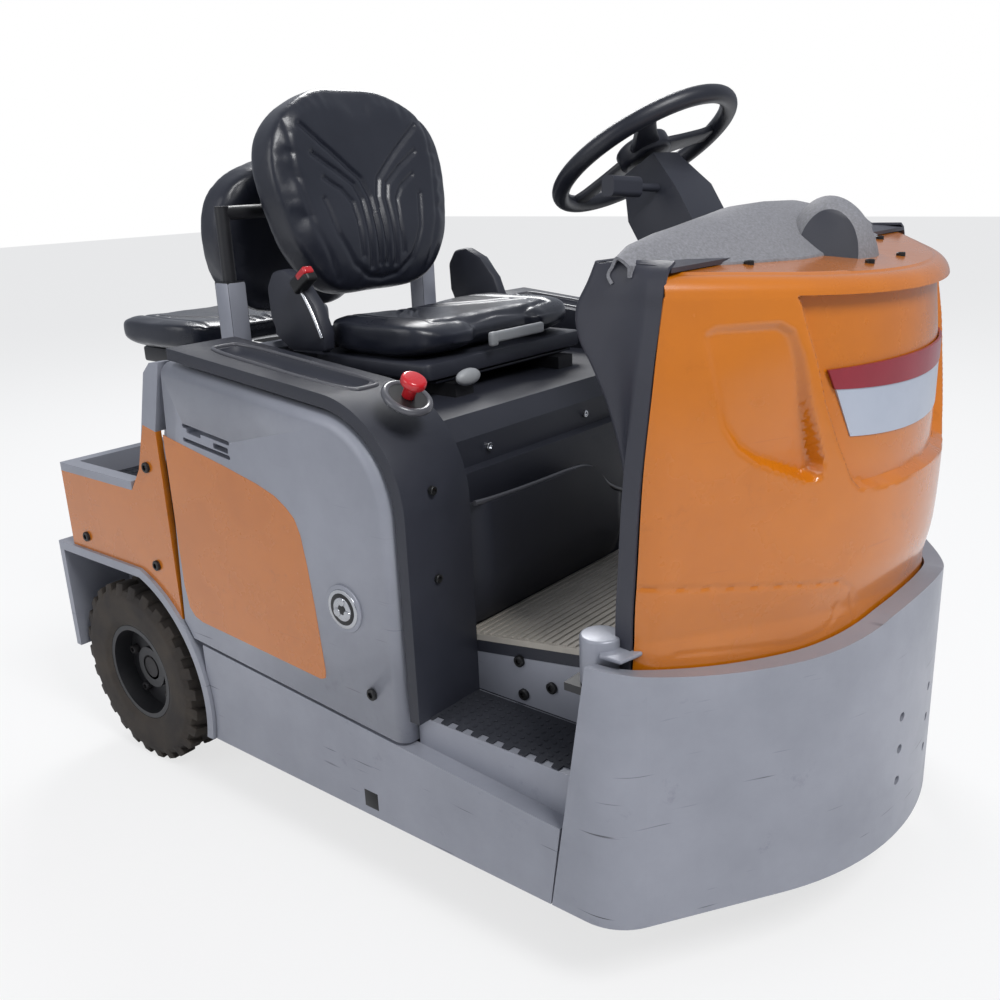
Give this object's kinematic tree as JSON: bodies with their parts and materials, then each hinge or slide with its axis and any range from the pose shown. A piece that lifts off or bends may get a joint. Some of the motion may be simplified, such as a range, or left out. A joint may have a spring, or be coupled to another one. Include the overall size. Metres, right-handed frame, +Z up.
{
  "type": "electric tow tractor",
  "caption": "Three-wheeled electric tow tractor with step-in cab, driver's seat, rear-facing passenger seat, side doors, load tray and tow jaw.",
  "frame": {"origin": "on the ground under the middle of the vehicle", "axes": "-Y is the direction of travel, -X the vehicle's right side, +Z up"},
  "size_m": [1.01, 1.79, 1.3223],
  "materials": {
    "orange_paint": "glossy orange clear coat",
    "silver_paint": "silver-grey metallic paint, scratched",
    "dark_frame": "black frame paint",
    "black_plastic": "dark moulded plastic",
    "red_plastic": "red button plastic",
    "soft_grip": "soft foam grip",
    "mat_rubber": "pale ribbed rubber",
    "tyre_rubber": "dusty solid tyre rubber",
    "rim_paint": "black rim paint",
    "black_vinyl": "black seat vinyl",
    "plain_steel": "bare steel"
  },
  "bodies": {
    "chassis": {"battery": "dark_frame", "battery_hood": "black_plastic", "body_end": "silver_paint", "bumper": "silver_paint", "chassis": "dark_frame", "corner_post_left": "silver_paint", "corner_post_right": "silver_paint", "cowl_rear_cover": "black_plastic", "dash_top": "black_plastic", "direction_stalk": "black_plastic", "drive_axle": "dark_frame", "fender_left": "silver_paint", "fender_right": "silver_paint", "floor_board": "dark_frame", "floor_mat": "mat_rubber", "front_cowl": "orange_paint", "front_pocket": "black_plastic", "instrument_pod": "black_plastic", "load_tray": "silver_paint", "passenger_backrest": "black_vinyl", "passenger_cushion": "black_vinyl", "passenger_frame": "dark_frame", "pedals": "black_plastic", "rear_panel": "orange_paint", "rear_side_panel_left": "orange_paint", "rear_side_panel_right": "orange_paint", "seat_rail": "dark_frame", "side_cover_left": "black_plastic", "side_cover_right": "black_plastic", "skirt_left": "silver_paint", "skirt_right": "silver_paint", "steering_column": "black_plastic", "step_left": "dark_frame", "step_right": "dark_frame", "stop_button": "red_plastic", "tow_coupling": "dark_frame"},
    "rear_wheel_right": {"rear_tyre_right": "tyre_rubber", "rear_rim_right": "rim_paint"},
    "rear_wheel_left": {"rear_tyre_left": "tyre_rubber", "rear_rim_left": "rim_paint"},
    "fork": {"steering_fork": "dark_frame"},
    "front_wheel": {"front_tyre": "tyre_rubber", "front_rim": "rim_paint"},
    "steering_wheel": {"steering_wheel": "soft_grip"},
    "door_right": {"side_door_right": "silver_paint"},
    "door_left": {"side_door_left": "silver_paint"},
    "driver_seat": {"seat_suspension": "black_plastic", "driver_cushion": "black_vinyl", "seat_recliner": "black_plastic"},
    "driver_back": {"driver_backrest": "black_vinyl"},
    "pin": {"coupling_pin": "plain_steel"}
  },
  "joints": [
    {"name": "rear_wheel_right_spin", "type": "hinge", "parent": "chassis", "child": "rear_wheel_right", "pos_m": [-0.44, 0.508, 0.192], "axis": [1, 0, 0], "continuous": true},
    {"name": "rear_wheel_left_spin", "type": "hinge", "parent": "chassis", "child": "rear_wheel_left", "pos_m": [0.44, 0.508, 0.192], "axis": [1, 0, 0], "continuous": true},
    {"name": "front_steer", "type": "hinge", "parent": "chassis", "child": "fork", "pos_m": [0, -0.64, 0.45], "axis": [0, 0, 1], "range_deg": [-85, 85]},
    {"name": "front_wheel_spin", "type": "hinge", "parent": "fork", "child": "front_wheel", "pos_m": [0, -0.64, 0.192], "axis": [1, 0, 0], "continuous": true},
    {"name": "steering_wheel_turn", "type": "hinge", "parent": "chassis", "child": "steering_wheel", "pos_m": [0, -0.395, 1.167], "axis": [0, 0.5299, 0.848], "range_deg": [-510, 510]},
    {"name": "door_right_swing", "type": "hinge", "parent": "chassis", "child": "door_right", "pos_m": [-0.5, 0.303, 0.6], "axis": [0, 0, -1], "range_deg": [0, 100]},
    {"name": "door_left_swing", "type": "hinge", "parent": "chassis", "child": "door_left", "pos_m": [0.5, 0.303, 0.6], "axis": [0, 0, 1], "range_deg": [0, 100]},
    {"name": "seat_slide", "type": "slide", "parent": "chassis", "child": "driver_seat", "axis": [0, 1, 0], "range_m": [-0.09, 0]},
    {"name": "backrest_recline", "type": "hinge", "parent": "driver_seat", "child": "driver_back", "pos_m": [0, 0.216, 0.878], "axis": [1, 0, 0], "range_deg": [-4, 12]},
    {"name": "pin_lift", "type": "slide", "parent": "chassis", "child": "pin", "axis": [0, 0, 1], "range_m": [0, 0.12]}
  ],
  "couplings": [
    {"joint": "steering_wheel_turn", "follows": "front_steer", "ratio": 6}
  ]
}
